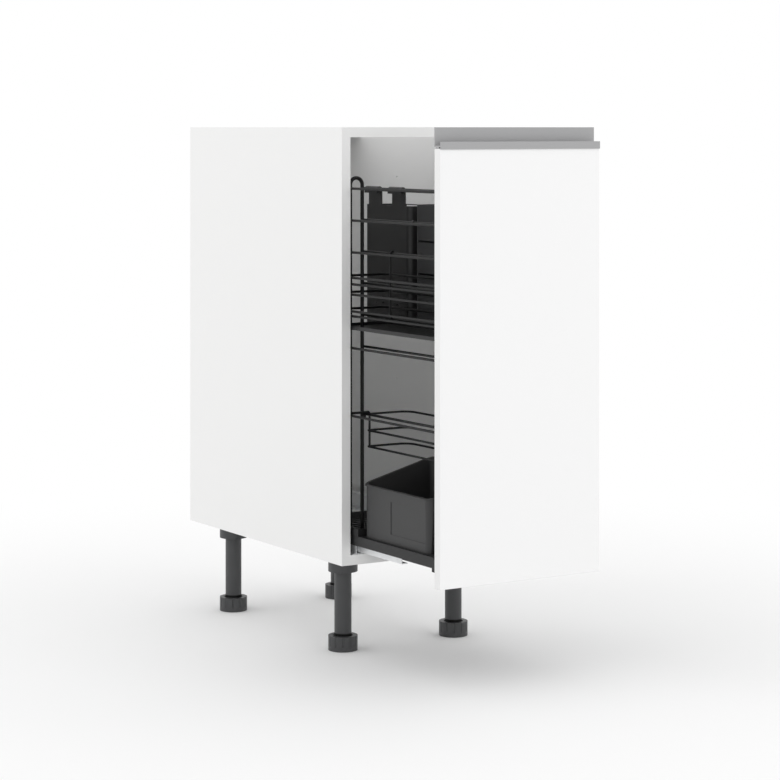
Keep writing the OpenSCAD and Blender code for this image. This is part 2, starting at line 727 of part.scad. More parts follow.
// Hook rolled over the rail, with its neck standing on the box's rim.
module box_hook(y0, y1, rim) {
  block(box_x, box_x + box_t, y0, y1, rim - 0.5, hook_z);
  difference() {
    bar_y(y0, y1, box_bar_x, hook_z, 2 * hook_in + 2 * box_t);
    bar_y(y0 - 1, y1 + 1, box_bar_x, hook_z, 2 * hook_in);
    block(box_bar_x - 20, box_bar_x + 20, y0 - 1, y1 + 1, hook_z - 20, hook_z);
  }
  block(box_bar_x - hook_in - box_t, box_bar_x - hook_in, y0, y1, hook_z - 6, hook_z);
}

// The rear box has two hooks, drain holes and a grip cut below the rim of its far wall.
module rear_box() color("#1f2022") on_front() {
  z1 = top_z - rear_box_top;
  difference() {
    open_box(box_x, rear_box_y, box_w, rear_box_len, box_z, z1);
    for (k = [0 : 3])
      bar_x(box_x - 1, box_x + box_t + 1, rear_box_y + rear_box_len - 36.6 - 21.8 * k, box_z + 37.2,
        drain_d);
    for (y = [box_r + 3, rear_box_len - box_r - 3])
      bar_z(box_z - 1, box_z + box_t + 1, box_x + 8, rear_box_y + y, drain_d);
    block(box_x + box_w - box_t - 1, box_x + box_w + 1, rear_box_y + 30,
      rear_box_y + rear_box_len - 30, z1 - 13.6, z1 - 1.6);
  }
  for (y = [14, rear_box_len - 13 - hook_w])
    box_hook(rear_box_y + y, rear_box_y + y + hook_w, z1);
}

// The front box has one hook and two long slots in its near wall.
module front_box() color("#3a3b3d") on_front() {
  z1 = top_z - front_box_top;
  difference() {
    open_box(box_x, front_box_y, box_w, front_box_len, box_z, z1);
    for (z = [z1 - 59, z1 - 111.6]) {
      bar_x(box_x - 1, box_x + box_t + 1, front_box_y + front_box_len - 12, z, slot_h);
      bar_x(box_x - 1, box_x + box_t + 1, front_box_y + 12, z, slot_h);
      block(box_x - 1, box_x + box_t + 1, front_box_y + 12, front_box_y + front_box_len - 12,
        z - slot_h / 2, z + slot_h / 2);
    }
  }
  box_hook(front_box_y + (front_box_len - hook_w) / 2, front_box_y + (front_box_len + hook_w) / 2, z1);
}

// Holder: three rings over the bin, hung on the lowest wire of the inner grid.

module holder_rings() color("#26272a") on_front() {
  r = holder_x - grid_b;
  for (k = [0 : 2])
    wire_ring(holder_x, holder_x + holder_w, ring_y0, holder_y1, low_z - 0.5 - k * holder_pitch,
      4, holder_r, holder_d);
  for (y = [ring_y0 + 5, holder_y1 - 6]) {
    bar_z(low_z - 0.5 - 2 * holder_pitch, low_z - 0.3, holder_x, y, holder_d);
    upright_bend(grid_b, y, low_z - 0.3, r, 180, holder_d);
    bar_z(low_z - 6, low_z - 0.3, grid_b - r, y, holder_d);
  }
}

// Bin: leaning ends, a rim that rises from the near side to the far side and a thin lip round it.

module bin_ends(g) along_x(bin_side - 5, bin_side + bin_w + 5) polygon([
  [bin_y + bin_draft + g, base_z - 1], [bin_y + bin_len - bin_draft - g, base_z - 1],
  [bin_y + bin_len - g, base_z + bin_high], [bin_y + bin_len - g, base_z + bin_high + 30],
  [bin_y + g, base_z + bin_high + 30], [bin_y + g, base_z + bin_high]]);

// Everything below the rim, or below a plane drop lower.
module under_rim(drop) along_y(bin_y - 10, bin_y + bin_len + 10) polygon([
  [bin_side - 6, base_z - 5], [bin_side + bin_w + 6, base_z - 5],
  [bin_side + bin_w + 6, base_z + bin_high - drop + 6 * (bin_high - bin_low) / bin_w],
  [bin_side - 6, base_z + bin_low - drop - 6 * (bin_high - bin_low) / bin_w]]);

module bin_form(g, z0) intersection() {
  round_box(bin_side + g, bin_side + bin_w - g, bin_y + g, bin_y + bin_len - g, z0,
    base_z + bin_high + 20, bin_r - g);
  bin_ends(g);
}

module bin() color("#4a4b4e") on_front() difference() {
  union() {
    intersection() {
      bin_form(0, base_z + seat / 2);
      under_rim(0);
    }
    intersection() {
      round_box(bin_side - 2.5, bin_side + bin_w + 2.5, bin_y - 2.5, bin_y + bin_len + 2.5,
        base_z + 20, base_z + bin_high + 20, bin_r + 2.5);
      difference() {
        under_rim(0);
        under_rim(1.6);
      }
    }
  }
  bin_form(bin_t, base_z + bin_t);
  block(bin_side - 1, bin_side + 0.8, bin_y + 12, bin_y + bin_len - 82.7, base_z + 15, base_z + 66);
}

side_left();
side_right();
bottom_panel();
back_panel();
top_front_rail();
top_rear_rail();
dowels();
cam_fittings();
leg_socket_fl();
leg_socket_fr();
leg_socket_rl();
leg_socket_rr();
leg_post_fl();
leg_post_fr();
leg_post_rl();
leg_post_rr();
leg_foot_fl();
leg_foot_fr();
leg_foot_rl();
leg_foot_rr();
leg_screws();
runner_fixed_left();
runner_fixed_right();
runner_screws();
cage_outer_left();
cage_outer_right();
runner_mid_left();
runner_mid_right();
cage_inner_left();
cage_inner_right();
runner_top_left();
runner_top_right();
base_frame();
base_tray();
hoop_rear_bar();
hoop_front_bar();
grid_outer();
grid_inner();
slot_wire();
board_stop();
wire_clip();
door_bracket_left();
door_bracket_right();
door_screws();
door_panel();
handle_profile();
handle_screws();
basket_rings();
basket_tray();
box_rail();
rear_box();
front_box();
holder_rings();
bin();
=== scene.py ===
"""Pull-out base cabinet: finishes, softened edges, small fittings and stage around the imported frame."""

import json
import math

import bpy
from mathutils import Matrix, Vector


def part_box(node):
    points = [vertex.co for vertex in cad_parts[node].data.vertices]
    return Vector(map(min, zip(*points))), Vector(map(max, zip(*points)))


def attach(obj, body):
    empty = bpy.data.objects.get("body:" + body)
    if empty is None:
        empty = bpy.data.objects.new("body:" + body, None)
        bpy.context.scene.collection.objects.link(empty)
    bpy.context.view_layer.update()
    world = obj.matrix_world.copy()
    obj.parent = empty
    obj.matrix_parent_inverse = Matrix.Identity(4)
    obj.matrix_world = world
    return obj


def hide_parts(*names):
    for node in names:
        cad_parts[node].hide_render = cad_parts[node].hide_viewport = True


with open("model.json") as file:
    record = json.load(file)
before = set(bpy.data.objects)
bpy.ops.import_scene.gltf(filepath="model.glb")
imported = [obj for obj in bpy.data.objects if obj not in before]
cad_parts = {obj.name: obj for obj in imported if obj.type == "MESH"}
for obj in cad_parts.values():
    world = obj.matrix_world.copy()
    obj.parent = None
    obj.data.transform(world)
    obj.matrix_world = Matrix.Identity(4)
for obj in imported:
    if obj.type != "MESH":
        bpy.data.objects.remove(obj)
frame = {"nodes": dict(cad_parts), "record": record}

bl_info = {
    "name": "Pull-out Base Cabinet",
    "version": (1, 0, 0),
    "blender": (4, 5, 0),
    "location": "3D View > Sidebar > Cabinet",
    "description": "Dresses a narrow pull-out kitchen cabinet with its finishes and fittings",
    "category": "Object",
}

NODES = frame["nodes"]
BODY_OF = {n: b for b, names in frame["record"]["behaviour"]["bodies"].items() for n in names}
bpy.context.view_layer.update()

# Working values, in metres and radians
SAME_PLACE = 0.0001                      # points this near lie on one face
SEAM = 0.000005                          # points this near are one point
NEARLY_FLAT = math.radians(0.6)          # faces this near to level are joined
SHARP_EDGE = math.radians(30)            # edges sharper than this are rounded
ROUND_EDGE = math.radians(50)            # the same on small turned pieces
SMOOTH_UP_TO = math.radians(35)          # edges softer than this are shaded smooth
WIRE_REACH = 0.006                       # more than a wire's thickness, less than the next wire
HEAD_REACH = 0.012                       # more than a screw head, less than the next head
SHEET_EDGE = 0.0003                      # rounding of sheet steel
BOX_EDGE = 0.0005                        # rounding of the boxes and the bin
HANDLE_EDGE = 0.0004                     # rounding of the handle profile
HEAD_EDGE = 0.0003                       # rounding of screw heads
CROSS_ARM = (0.0009, 0.0042)             # width and length of a cross recess's arm
SHADE_RING_WALL = 0.0012                     # wall of the near-black ring at a post's lower end, painted shade for the gap above the foot
SHADE_RING_PROUD = 0.00015                   # how far that ring stands out from the post
SHADE_RING_EDGE = 0.00025                    # rounding of that ring
BEAD_STRETCH = (0.62, 1.5, 1.0)          # shape of a weld bead
BEAD_CUT = 0.2                           # where its two sides are cut flat, as a share of its height
HOOK_ROLL = 0.008                        # height of the rolled part of a box's hook
GRAIN_HEIGHT = 0.0004                    # height of raised grain and drawn lines
SIDEWAYS = 0.2                           # a side face leans less than this to the front or back
FEWEST_WELDS = 8                         # two hoops, two sides and at least two wires
BACK_SHARE = 0.97                        # the back panel's white, as a share of the boards'
TRAY_SHARE = 0.75                        # the base tray's black, as a share of the sheet steel's

# Studio, in metres and radians
FLOOR_SIZE = 60                          # so wide that its edge is never seen
FLOOR_DROP = 0.0002                      # keeps the floor just under the feet
LAMP_SIZE = 2.4                          # wide lamps give soft shadows
KEY_PLACE, KEY_AIM = (1.6, -3.2, 2.6), (0, -0.1, 0.4)
SIDE_PLACE, SIDE_AIM = (-3.6, 1.6, 2.2), (0, 0.1, 0.4)
VIEWER_PLACE = (-2.0988, -3.4100, 0.850)
VIEWER_TURN = (math.radians(90), 0, -0.5551)
VIEWER_SHIFT = -0.33687                  # moves the level view down onto the cabinet


# Small helpers

def pick(*objects):
    """Deselect everything, then select these objects and make the first one active."""
    if bpy.context.object and bpy.context.object.mode != "OBJECT":
        bpy.ops.object.mode_set(mode="OBJECT")
    bpy.ops.object.select_all(action="DESELECT")
    for item in objects:
        item.select_set(True)
    bpy.context.view_layer.objects.active = objects[0]


def give(piece, material, body):
    """Put a material on a piece, and let the piece ride on its body."""
    piece.data.materials.clear()
    piece.data.materials.append(material)
    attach(piece, body)
    return piece


def paint(material, *names):
    """Put a material into the material slots of CAD nodes."""
    for name in names:
        node = NODES[name]
        if not node.material_slots:
            node.data.materials.append(material)
        for place in node.material_slots:
            place.material = material


def size_of(name):
    """Lowest and highest corner of a CAD node, as vectors."""
    low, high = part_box(name)
    return Vector(low), Vector(high)


def start(primitive, name, **values):
    """Deselect everything, add a primitive at its size and place, and name it."""
    bpy.ops.object.select_all(action="DESELECT")
    primitive(**values)
    piece = bpy.context.object
    piece.name = name
    return piece


def smooth(piece, limit=SMOOTH_UP_TO):
    """Smooth the shading over edges that are less sharp than the limit."""
    pick(piece)
    bpy.ops.object.shade_smooth_by_angle(angle=limit)


def settle(piece):
    """Apply the piece's place, so that its object sits at the origin."""
    pick(piece)
    bpy.ops.object.transform_apply(location=True, rotation=True, scale=True)
    return piece


def finish_with(piece, kind, **values):
    """Add a modifier with the given values and apply it."""
    pick(piece)
    modifier = piece.modifiers.new(kind.title(), kind)
    for key, value in values.items():
        setattr(modifier, key, value)
    bpy.ops.object.modifier_apply(modifier=modifier.name)


def copy_to(piece, name, place):
    """A copy of a finished piece with a mesh of its own, moved to another place."""
    pick(piece)
    bpy.ops.object.duplicate(linked=False)
    made = bpy.context.object
    made.name = name
    bpy.ops.object.mode_set(mode="EDIT")
    bpy.ops.mesh.select_all(action="SELECT")
    bpy.ops.transform.translate(value=place)
    bpy.ops.object.mode_set(mode="OBJECT")
    return made


def wire_heights(name):
    """Heights of the level wires of a grid, from the cut ends at its rear."""
    mesh = NODES[name].data
    rear = max(v.co.y for v in mesh.vertices)
    ends = sorted(v.co.z for v in mesh.vertices if v.co.y > rear - SAME_PLACE)
    groups = [[ends[0]]]
    for z in ends[1:]:
        if z - groups[-1][0] < WIRE_REACH:
            groups[-1].append(z)
        else:
            groups.append([z])
    return [(g[0] + g[-1]) / 2 for g in groups]


# Shader parts

def socket(group, name, side, kind, default=None):
    """Add one named input or output to a node group."""
    made = group.interface.new_socket(name=name, in_out=side, socket_type=kind)
    if default is not None:
        made.default_value = default


def mottle_group():
    """Slight cloudy change of colour over a surface."""
    group = bpy.data.node_groups.new("Surface mottle", "ShaderNodeTree")
    socket(group, "Colour", "INPUT", "NodeSocketColor", (0.8, 0.8, 0.8, 1))
    socket(group, "Cloud size", "INPUT", "NodeSocketFloat", 4.0)
    socket(group, "Depth", "INPUT", "NodeSocketFloat", 0.03)
    socket(group, "Colour", "OUTPUT", "NodeSocketColor")
    nodes, links = group.nodes, group.links
    given = nodes.new("NodeGroupInput")
    out = nodes.new("NodeGroupOutput")
    coords = nodes.new("ShaderNodeTexCoord")
    cloud = nodes.new("ShaderNodeTexNoise")
    cloud.inputs["Detail"].default_value = 3
    links.new(coords.outputs["Object"], cloud.inputs["Vector"])
    links.new(given.outputs["Cloud size"], cloud.inputs["Scale"])
    centred = nodes.new("ShaderNodeMath")
    centred.operation = "SUBTRACT"
    centred.inputs[1].default_value = 0.5
    links.new(cloud.outputs["Fac"], centred.inputs[0])
    scaled = nodes.new("ShaderNodeMath")
    scaled.operation = "MULTIPLY"
    links.new(centred.outputs[0], scaled.inputs[0])
    links.new(given.outputs["Depth"], scaled.inputs[1])
    value = nodes.new("ShaderNodeMath")
    value.operation = "ADD"
    value.inputs[1].default_value = 1.0
    links.new(scaled.outputs[0], value.inputs[0])
    tint = nodes.new("ShaderNodeVectorMath")
    tint.operation = "SCALE"
    links.new(given.outputs["Colour"], tint.inputs[0])
    links.new(value.outputs[0], tint.inputs["Scale"])
    links.new(tint.outputs[0], out.inputs["Colour"])
    return group


def grain_group():
    """Fine raised grain, as on moulded plastic, powder coat or a pressed decor."""
    group = bpy.data.node_groups.new("Fine grain", "ShaderNodeTree")
    socket(group, "Grain size", "INPUT", "NodeSocketFloat", 900.0)
    socket(group, "Roughness", "INPUT", "NodeSocketFloat", 0.5)
    socket(group, "Spread", "INPUT", "NodeSocketFloat", 0.08)
    socket(group, "Height", "OUTPUT", "NodeSocketFloat")
    socket(group, "Roughness", "OUTPUT", "NodeSocketFloat")
    nodes, links = group.nodes, group.links
    given = nodes.new("NodeGroupInput")
    out = nodes.new("NodeGroupOutput")
    coords = nodes.new("ShaderNodeTexCoord")
    grain = nodes.new("ShaderNodeTexNoise")
    grain.inputs["Detail"].default_value = 2
    links.new(coords.outputs["Object"], grain.inputs["Vector"])
    links.new(given.outputs["Grain size"], grain.inputs["Scale"])
    spread = nodes.new("ShaderNodeMath")
    spread.operation = "MULTIPLY_ADD"
    links.new(grain.outputs["Fac"], spread.inputs[0])
    links.new(given.outputs["Spread"], spread.inputs[1])
    links.new(given.outputs["Roughness"], spread.inputs[2])
    links.new(grain.outputs["Fac"], out.inputs["Height"])
    links.new(spread.outputs[0], out.inputs["Roughness"])
    return group


def brushed_group():
    """Fine lines drawn along the axis that is stretched least, with a change of sheen across them."""
    group = bpy.data.node_groups.new("Drawn metal", "ShaderNodeTree")
    socket(group, "Stretch", "INPUT", "NodeSocketVector", (6, 900, 900))
    socket(group, "Roughness", "INPUT", "NodeSocketFloat", 0.35)
    socket(group, "Spread", "INPUT", "NodeSocketFloat", 0.12)
    socket(group, "Height", "OUTPUT", "NodeSocketFloat")
    socket(group, "Roughness", "OUTPUT", "NodeSocketFloat")
    nodes, links = group.nodes, group.links
    given = nodes.new("NodeGroupInput")
    out = nodes.new("NodeGroupOutput")
    coords = nodes.new("ShaderNodeTexCoord")
    pull = nodes.new("ShaderNodeVectorMath")
    pull.operation = "MULTIPLY"
    links.new(coords.outputs["Object"], pull.inputs[0])
    links.new(given.outputs["Stretch"], pull.inputs[1])
    lines = nodes.new("ShaderNodeTexNoise")
    lines.inputs["Scale"].default_value = 1.0
    lines.inputs["Detail"].default_value = 3
    links.new(pull.outputs[0], lines.inputs["Vector"])
    spread = nodes.new("ShaderNodeMath")
    spread.operation = "MULTIPLY_ADD"
    links.new(lines.outputs["Fac"], spread.inputs[0])
    links.new(given.outputs["Spread"], spread.inputs[1])
    links.new(given.outputs["Roughness"], spread.inputs[2])
    links.new(lines.outputs["Fac"], out.inputs["Height"])
    links.new(spread.outputs[0], out.inputs["Roughness"])
    return group


def build_groups():
    """The shader parts that several finishes share."""
    return {"mottle": mottle_group(), "grain": grain_group(), "brushed": brushed_group()}


def finish(name, colour, groups, rough, spread, cloud, bump, grain=None, stretch=None, metallic=0.0,
           specular=0.5):
    """A finish from the shared parts: a mottled colour, grained or drawn sheen and a fine bump.

    cloud is the fineness and depth of the mottling. A grained finish gives the grain's fineness,
    and a drawn one the fineness of its lines along each axis.
    """
    material = bpy.data.materials.new(name)
    material.use_nodes = True
    nodes, links = material.node_tree.nodes, material.node_tree.links
    shader = nodes["Principled BSDF"]
    shader.inputs["Metallic"].default_value = metallic
    shader.inputs["Specular IOR Level"].default_value = specular
    mottle = nodes.new("ShaderNodeGroup")
    mottle.node_tree = groups["mottle"]
    mottle.inputs["Colour"].default_value = (*colour, 1)
    mottle.inputs["Cloud size"].default_value = cloud[0]
    mottle.inputs["Depth"].default_value = cloud[1]
    links.new(mottle.outputs["Colour"], shader.inputs["Base Color"])
    fine = nodes.new("ShaderNodeGroup")
    if stretch:
        fine.node_tree = groups["brushed"]
        fine.inputs["Stretch"].default_value = stretch
    else:
        fine.node_tree = groups["grain"]
        fine.inputs["Grain size"].default_value = grain
    fine.inputs["Roughness"].default_value = rough - spread / 2
    fine.inputs["Spread"].default_value = spread
    links.new(fine.outputs["Roughness"], shader.inputs["Roughness"])
    raise_it = nodes.new("ShaderNodeBump")
    raise_it.inputs["Strength"].default_value = bump
    raise_it.inputs["Distance"].default_value = GRAIN_HEIGHT
    links.new(fine.outputs["Height"], raise_it.inputs["Height"])
    links.new(raise_it.outputs["Normal"], shader.inputs["Normal"])
    return material


# Settings that a user would change

class CabinetColours(bpy.types.PropertyGroup):
    """Colours of the cabinet's finishes."""

    board: bpy.props.FloatVectorProperty(
        name="Boards", description="White of the melamine boards", subtype="COLOR", size=3,
        min=0, max=1, default=(0.86, 0.86, 0.855))
    front: bpy.props.FloatVectorProperty(
        name="Front", description="White of the lacquered front", subtype="COLOR", size=3,
        min=0, max=1, default=(0.92, 0.92, 0.92))
    edging: bpy.props.FloatVectorProperty(
        name="Edging", description="White of the edging round the front", subtype="COLOR", size=3,
        min=0, max=1, default=(0.84, 0.84, 0.838))
    wire: bpy.props.FloatVectorProperty(
        name="Wires", description="Powder coat on the wires and bars", subtype="COLOR", size=3,
        min=0, max=1, default=(0.005, 0.005, 0.0053))
    sheet: bpy.props.FloatVectorProperty(
        name="Sheet steel", description="Powder coat on the base frame and the basket tray",
        subtype="COLOR", size=3, min=0, max=1, default=(0.0145, 0.0147, 0.0153))
    legs: bpy.props.FloatVectorProperty(
        name="Legs", description="Moulded plastic of the legs", subtype="COLOR", size=3,
        min=0, max=1, default=(0.049, 0.05, 0.052))
    rear_box: bpy.props.FloatVectorProperty(
        name="Rear box", description="Moulded plastic of the box at the rear", subtype="COLOR", size=3,
        min=0, max=1, default=(0.0125, 0.0125, 0.013))
    front_box: bpy.props.FloatVectorProperty(
        name="Front box", description="Moulded plastic of the box at the front", subtype="COLOR", size=3,
        min=0, max=1, default=(0.024, 0.0245, 0.026))
    bin: bpy.props.FloatVectorProperty(
        name="Bin", description="Moulded plastic of the bin", subtype="COLOR", size=3,
        min=0, max=1, default=(0.0262, 0.0265, 0.0271))
    handle: bpy.props.FloatVectorProperty(
        name="Handle", description="Anodised metal of the handle profile", subtype="COLOR", size=3,
        min=0, max=1, default=(0.40, 0.40, 0.405))


class CabinetSizes(bpy.types.PropertyGroup):
    """Sizes of the details that the scene adds."""

    board_edge: bpy.props.FloatProperty(
        name="Board edge", description="Rounding of the boards' edges", unit="LENGTH",
        min=0.0001, max=0.002, default=0.0005)
    front_edge: bpy.props.FloatProperty(
        name="Front edge", description="Rounding of the front's edges", unit="LENGTH",
        min=0.0002, max=0.003, default=0.0009)
    moulded_edge: bpy.props.FloatProperty(
        name="Moulded edge", description="Rounding of the plastic pieces' edges", unit="LENGTH",
        min=0.0001, max=0.002, default=0.0006)
    weld: bpy.props.FloatProperty(
        name="Weld bead", description="Height of a weld between wire and bar", unit="LENGTH",
        min=0.002, max=0.006, default=0.0036)
    # painted shade: the ring's height sets how much of the post is darkened for the gap above the foot
    shade_ring: bpy.props.FloatProperty(
        name="Leg collar", description="Height of the painted shade ring at the foot of a leg's post",
        unit="LENGTH", min=0.004, max=0.014, default=0.0098)
    hook_slide: bpy.props.FloatProperty(
        name="Hook slide", description="How far the front box's hook sits towards the door", unit="LENGTH",
        min=0, max=0.03, default=0.016)
    drive: bpy.props.FloatProperty(
        name="Screw drive", description="Depth of the cross recess in a screw head", unit="LENGTH",
        min=0.0004, max=0.0018, default=0.0012)


class StudioSettings(bpy.types.PropertyGroup):
    """Light, floor and camera."""

    sky: bpy.props.FloatProperty(
        name="Sky", description="Strength of the even light from all round", min=0, max=2, default=0.95)
    key: bpy.props.FloatProperty(
        name="Key lamp", description="Power of the large lamp in front", unit="POWER",
        min=0, max=500, default=14)
    side: bpy.props.FloatProperty(
        name="Side lamp", description="Power of the large lamp to the left and behind", unit="POWER",
        min=0, max=500, default=15)
    floor: bpy.props.FloatVectorProperty(
        name="Floor", description="Colour of the floor near the cabinet", subtype="COLOR", size=3,
        min=0, max=1, default=(0.92, 0.92, 0.92))
    fade_start: bpy.props.FloatProperty(
        name="Fade start", description="Distance at which the floor starts to turn white", unit="LENGTH",
        min=0, max=5, default=0.3)
    fade_end: bpy.props.FloatProperty(
        name="Fade end", description="Distance at which the floor is white", unit="LENGTH",
        min=0.1, max=10, default=1.6)
    lens: bpy.props.FloatProperty(
        name="Lens", description="Focal length of the camera", unit="CAMERA",
        min=20, max=300, default=110.63)


# Operators

class CabinetStep:
    """What the operators share: the settings, the finishes and the rounding of a CAD node."""

    bl_options = {"REGISTER", "UNDO"}
    finishes = {}

    @property
    def colours(self):
        return bpy.context.scene.cabinet_colours

    @property
    def sizes(self):
        return bpy.context.scene.cabinet_sizes

    def soften(self, name, width, material, slot):
        """A copy of a CAD node with its seams closed and its sharp edges rounded, in place of the node."""
        piece = NODES[name].copy()
        piece.data = NODES[name].data.copy()
        piece.parent = None
        for key in list(piece.keys()):
            del piece[key]
        piece.name = name + "_finished"
        bpy.context.scene.collection.objects.link(piece)
        pick(piece)
        bpy.ops.object.mode_set(mode="EDIT")
        bpy.ops.mesh.select_all(action="SELECT")
        bpy.ops.mesh.remove_doubles(threshold=SEAM)
        bpy.ops.mesh.dissolve_limited(angle_limit=NEARLY_FLAT)
        bpy.ops.object.mode_set(mode="OBJECT")
        finish_with(piece, "BEVEL", width=width, segments=2, limit_method="ANGLE",
                    angle_limit=SHARP_EDGE, use_clamp_overlap=True, miter_outer="MITER_ARC")
        smooth(piece)
        finish_with(piece, "WEIGHTED_NORMAL", keep_sharp=True)
        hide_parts(name)
        return give(piece, material, BODY_OF[name])


class CABINET_OT_finishes(bpy.types.Operator, CabinetStep):
    """Make every finish of the cabinet from the shared shader parts."""

    bl_idname = "cabinet.finishes"
    bl_label = "Finishes"

    def execute(self, context):
        parts = build_groups()
        c = self.colours
        CabinetStep.finishes = {
            "board": finish("Melamine white", c.board, parts, rough=0.42, spread=0.10,
                            cloud=(2.5, 0.012), grain=1400, bump=0.04, specular=0.45),
            "back": finish("Back panel white", [v * BACK_SHARE for v in c.board], parts,
                           rough=0.55, spread=0.10, cloud=(3.0, 0.02), grain=1100, bump=0.06),
            "front": finish("Lacquer white", c.front, parts, rough=0.36, spread=0.06,
                            cloud=(1.8, 0.008), grain=700, bump=0.025, specular=0.45),
            "edging": finish("Edging white", c.edging, parts, rough=0.42, spread=0.10,
                             cloud=(2.5, 0.012), grain=1400, bump=0.04, specular=0.45),
            "wire": finish("Black powder coat", c.wire, parts, rough=0.42, spread=0.16,
                           cloud=(30, 0.2), grain=2600, bump=0.12, specular=0.26),
            "sheet": finish("Anthracite powder coat", c.sheet, parts, rough=0.46, spread=0.16,
                            cloud=(12, 0.12), grain=2200, bump=0.14, specular=0.35),
            "legs": finish("Moulded leg plastic", c.legs, parts, rough=0.44, spread=0.12,
                           cloud=(20, 0.10), grain=1500, bump=0.10),
            "rear_box": finish("Black moulded plastic", c.rear_box, parts, rough=0.48, spread=0.12,
                               cloud=(14, 0.10), grain=1700, bump=0.14),
            "front_box": finish("Grey moulded plastic", c.front_box, parts, rough=0.50, spread=0.12,
                                cloud=(14, 0.10), grain=1700, bump=0.14),
            "bin": finish("Bin plastic", c.bin, parts, rough=0.46, spread=0.12,
                          cloud=(10, 0.10), grain=1500, bump=0.16),
            "tray": finish("Tray plastic", [v * TRAY_SHARE for v in c.sheet], parts, rough=0.5,
                           spread=0.14, cloud=(16, 0.12), grain=1500, bump=0.16),
            "handle": finish("Anodised metal", c.handle, parts, rough=0.52, spread=0.12,
                             cloud=(6, 0.02), stretch=(8, 1500, 1500), bump=0.05, metallic=0.35),
            "runner": finish("Galvanised steel", (0.80, 0.81, 0.82), parts, rough=0.40, spread=0.16,
                             cloud=(60, 0.16), stretch=(900, 12, 900), bump=0.06, metallic=0.6),
            "runner_dark": finish("Dark coated steel", (0.07, 0.071, 0.074), parts, rough=0.42,
                                  spread=0.14, cloud=(20, 0.1), grain=2000, bump=0.08,
                                  metallic=0.3),
            "screw": finish("Zinc plating", (0.58, 0.59, 0.60), parts, rough=0.28, spread=0.12,
                            cloud=(200, 0.1), grain=2500, bump=0.05, metallic=1.0),
            "nylon": finish("Natural nylon", (0.66, 0.63, 0.55), parts, rough=0.48, spread=0.1,
                            cloud=(60, 0.06), grain=1800, bump=0.06),
            # painted shade: a near-black finish for the rings that stand for the shadowed gap above each
            # foot
            "ring": finish("Painted gap shade", (0.004, 0.004, 0.004), parts, rough=0.6, spread=0.1,
                           cloud=(30, 0.1), grain=2000, bump=0.05, specular=0.2),
            "beech": finish("Turned beech", (0.50, 0.32, 0.16), parts, rough=0.6, spread=0.1,
                            cloud=(80, 0.25), stretch=(40, 1800, 1800), bump=0.15),
        }
        return {"FINISHED"}


class CABINET_OT_carcase(bpy.types.Operator, CabinetStep):
    """Round the edges of the white boards and put their finish on."""

    bl_idname = "cabinet.carcase"
    bl_label = "Carcase"

    def execute(self, context):
        for name in ("side_left", "side_right", "bottom_panel", "top_front_rail", "top_rear_rail"):
            self.soften(name, self.sizes.board_edge, self.finishes["board"], "carcase_white")
        paint(self.finishes["back"], "back_panel")
        paint(self.finishes["beech"], "dowels")
        paint(self.finishes["screw"], "cam_fittings")
        return {"FINISHED"}


class CABINET_OT_front(bpy.types.Operator, CabinetStep):
    """Model the lacquered front with its rounded edges and edging, and finish the handle profile."""

    bl_idname = "cabinet.front"
    bl_label = "Front"

    def execute(self, context):
        low, high = size_of("door_panel")
        slab = start(bpy.ops.mesh.primitive_cube_add, "front_slab", size=1, location=(low + high) / 2)
        slab.scale = high - low
        settle(slab)
        bpy.ops.object.mode_set(mode="EDIT")
        bpy.ops.mesh.select_all(action="SELECT")
        bpy.ops.mesh.bevel(offset=self.sizes.front_edge, segments=4, affect="EDGES")
        bpy.ops.object.mode_set(mode="OBJECT")
        smooth(slab)
        finish_with(slab, "WEIGHTED_NORMAL", keep_sharp=True)
        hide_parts("door_panel")
        give(slab, self.finishes["front"], BODY_OF["door_panel"])
        slab.data.materials.append(self.finishes["edging"])
        for face in slab.data.polygons:
            face.material_index = 1 if abs(face.normal.y) < SIDEWAYS else 0
        self.soften("handle_profile", HANDLE_EDGE, self.finishes["handle"], "handle_aluminium")
        return {"FINISHED"}


class CABINET_OT_legs(bpy.types.Operator, CabinetStep):
    """Round and finish the sockets, posts and feet of the legs."""

    bl_idname = "cabinet.legs"
    bl_label = "Legs"

    def execute(self, context):
        for corner in ("fl", "fr", "rl", "rr"):
            for part in ("socket", "post", "foot"):
                self.soften(f"leg_{part}_{corner}", self.sizes.moulded_edge, self.finishes["legs"],
                            "leg_plastic")
        return {"FINISHED"}


class CABINET_OT_shade_rings(bpy.types.Operator, CabinetStep):
    """Model a near-black ring at the lower end of a post, painted shade for the gap above the foot, and
    copy it to the other legs.
    """

    bl_idname = "cabinet.collars"
    bl_label = "Leg collars"

    def execute(self, context):
        low, high = size_of("leg_post_fl")
        height = self.sizes.shade_ring
        middle = (low + high) / 2
        first = start(bpy.ops.mesh.primitive_cylinder_add, "leg_shade_ring_fl", vertices=64,
                      radius=(high.x - low.x) / 2 + SHADE_RING_PROUD, depth=height,
                      location=(middle.x, middle.y, low.z - SAME_PLACE + height / 2))
        settle(first)
        bpy.ops.object.mode_set(mode="EDIT")
        bpy.ops.mesh.select_mode(type="FACE")
        bpy.ops.mesh.select_face_by_sides(number=4, type="GREATER")
        bpy.ops.mesh.inset(thickness=SHADE_RING_WALL, use_individual=True)
        bpy.ops.mesh.bridge_edge_loops()
        bpy.ops.object.mode_set(mode="OBJECT")
        finish_with(first, "BEVEL", width=SHADE_RING_EDGE, segments=2, limit_method="ANGLE",
                    angle_limit=ROUND_EDGE)
        smooth(first)
        for corner in ("fr", "rl", "rr"):
            there = sum(size_of(f"leg_post_{corner}"), Vector()) / 2
            other = copy_to(first, f"leg_shade_ring_{corner}", (there.x - middle.x, there.y - middle.y, 0))
            give(other, self.finishes["ring"], "carcase")
        give(first, self.finishes["ring"], "carcase")
        return {"FINISHED"}


